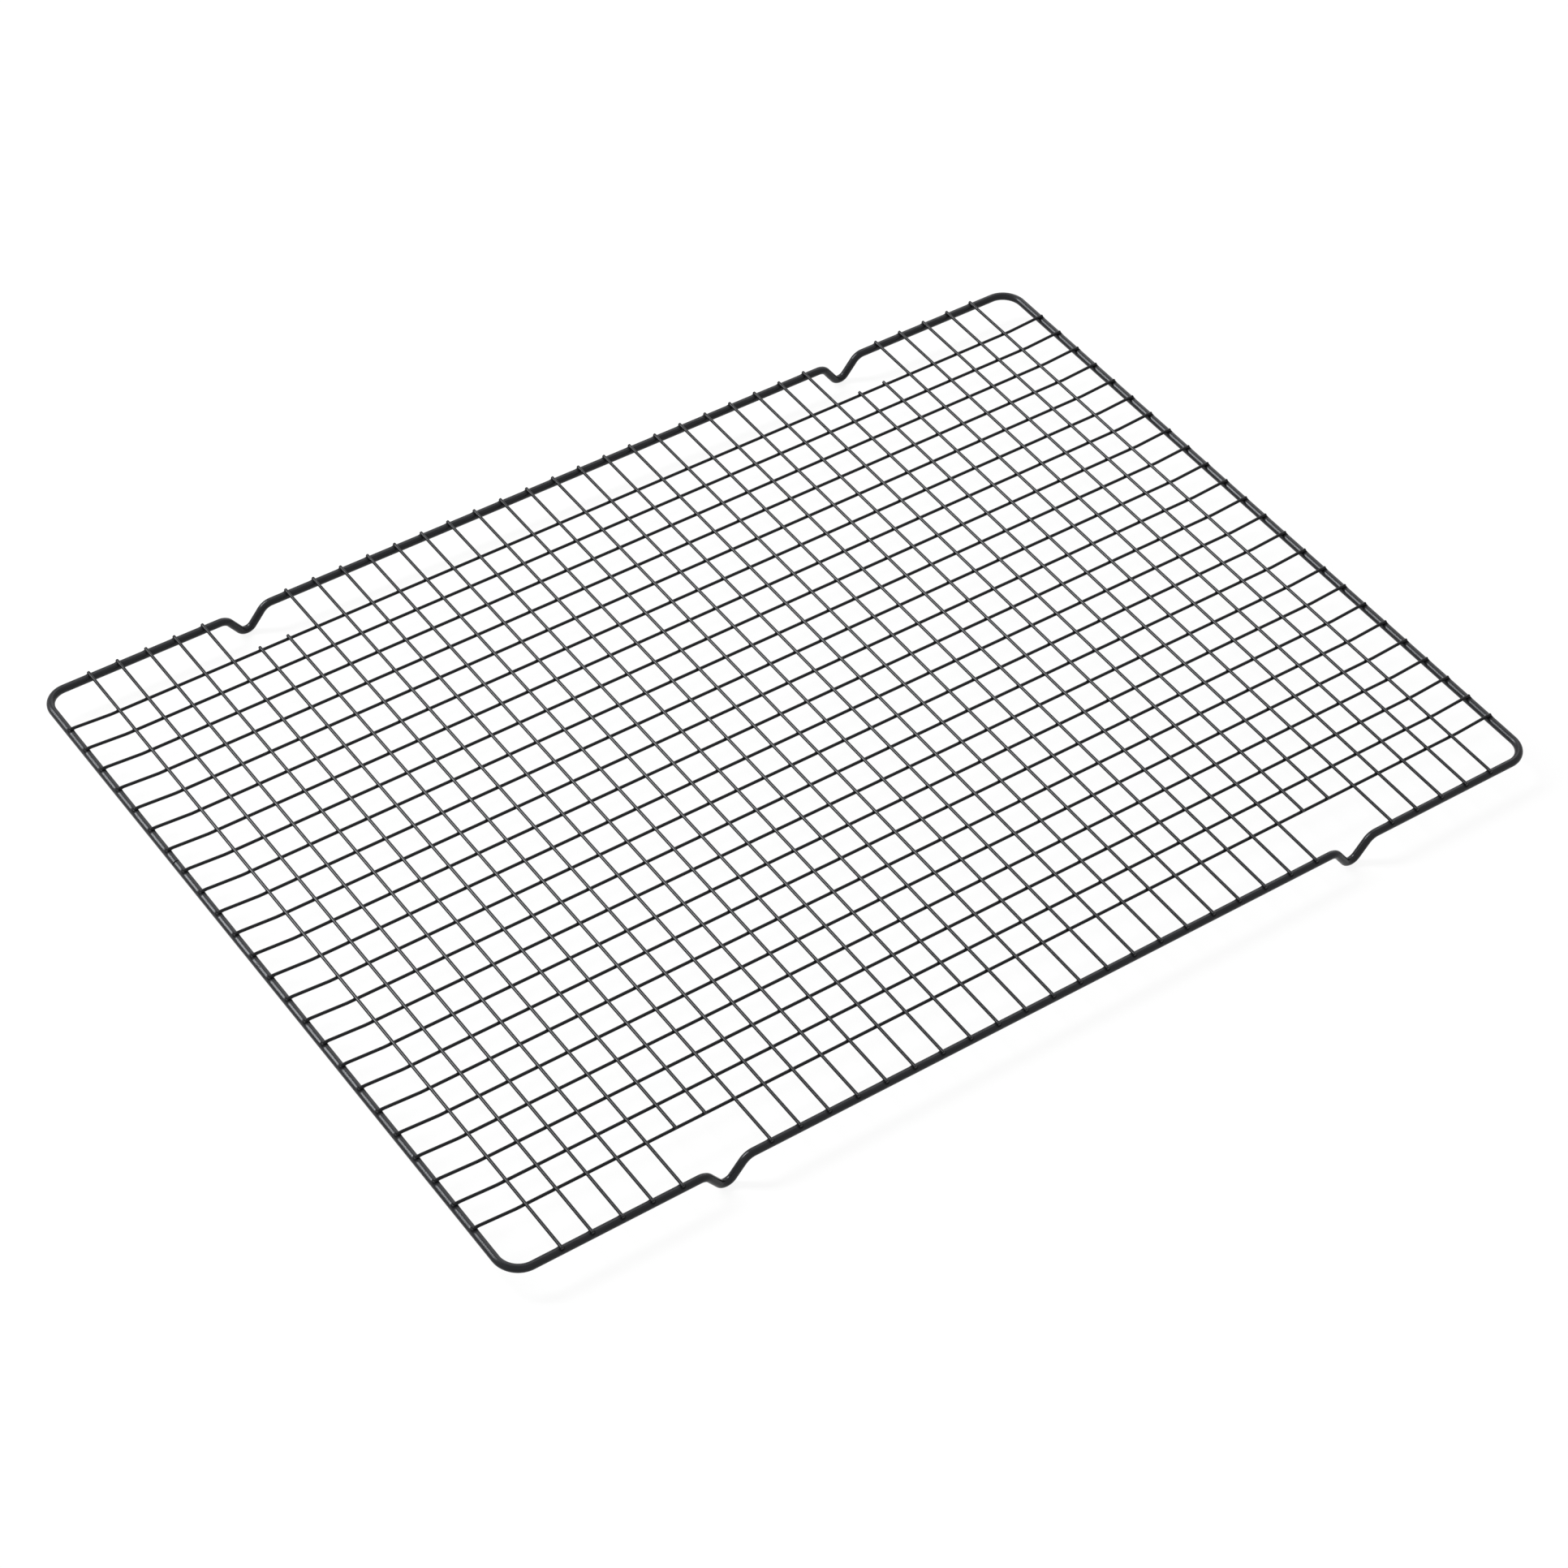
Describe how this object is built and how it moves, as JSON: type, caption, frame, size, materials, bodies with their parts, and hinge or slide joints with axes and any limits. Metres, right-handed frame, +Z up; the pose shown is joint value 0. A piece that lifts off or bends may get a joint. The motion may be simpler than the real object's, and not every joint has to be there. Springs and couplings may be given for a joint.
{
  "type": "cooling rack",
  "caption": "Rectangular wire cooling rack: a fine welded mesh on a rounded frame whose long sides dip to form V-shaped feet.",
  "frame": {"origin": "middle of the rack, on the surface that the feet stand on", "axes": "+X along the long side, +Y across the rack, +Z up"},
  "size_m": [0.46, 0.33, 0.0133],
  "materials": {
    "frame": "satin non-stick coating",
    "mesh": "satin non-stick coating"
  },
  "bodies": {
    "root": {"frame_wire": "frame", "long_wire_01": "mesh", "long_wire_02": "mesh", "long_wire_03": "mesh", "long_wire_04": "mesh", "long_wire_05": "mesh", "long_wire_06": "mesh", "long_wire_07": "mesh", "long_wire_08": "mesh", "long_wire_09": "mesh", "long_wire_10": "mesh", "long_wire_11": "mesh", "long_wire_12": "mesh", "long_wire_13": "mesh", "long_wire_14": "mesh", "long_wire_15": "mesh", "long_wire_16": "mesh", "long_wire_17": "mesh", "long_wire_18": "mesh", "long_wire_19": "mesh", "long_wire_20": "mesh", "long_wire_21": "mesh", "long_wire_22": "mesh", "long_wire_23": "mesh", "long_wire_24": "mesh", "cross_wire_01": "mesh", "cross_wire_02": "mesh", "cross_wire_03": "mesh", "cross_wire_04": "mesh", "cross_wire_05": "mesh", "short_cross_wire_06": "mesh", "short_cross_wire_07": "mesh", "cross_wire_08": "mesh", "cross_wire_09": "mesh", "cross_wire_10": "mesh", "cross_wire_11": "mesh", "cross_wire_12": "mesh", "cross_wire_13": "mesh", "cross_wire_14": "mesh", "cross_wire_15": "mesh", "cross_wire_16": "mesh", "cross_wire_17": "mesh", "cross_wire_18": "mesh", "cross_wire_19": "mesh", "cross_wire_20": "mesh", "cross_wire_21": "mesh", "cross_wire_22": "mesh", "cross_wire_23": "mesh", "cross_wire_24": "mesh", "cross_wire_25": "mesh", "cross_wire_26": "mesh", "cross_wire_27": "mesh", "cross_wire_28": "mesh", "short_cross_wire_29": "mesh", "short_cross_wire_30": "mesh", "cross_wire_31": "mesh", "cross_wire_32": "mesh", "cross_wire_33": "mesh", "cross_wire_34": "mesh", "cross_wire_35": "mesh"}
  },
  "joints": []
}
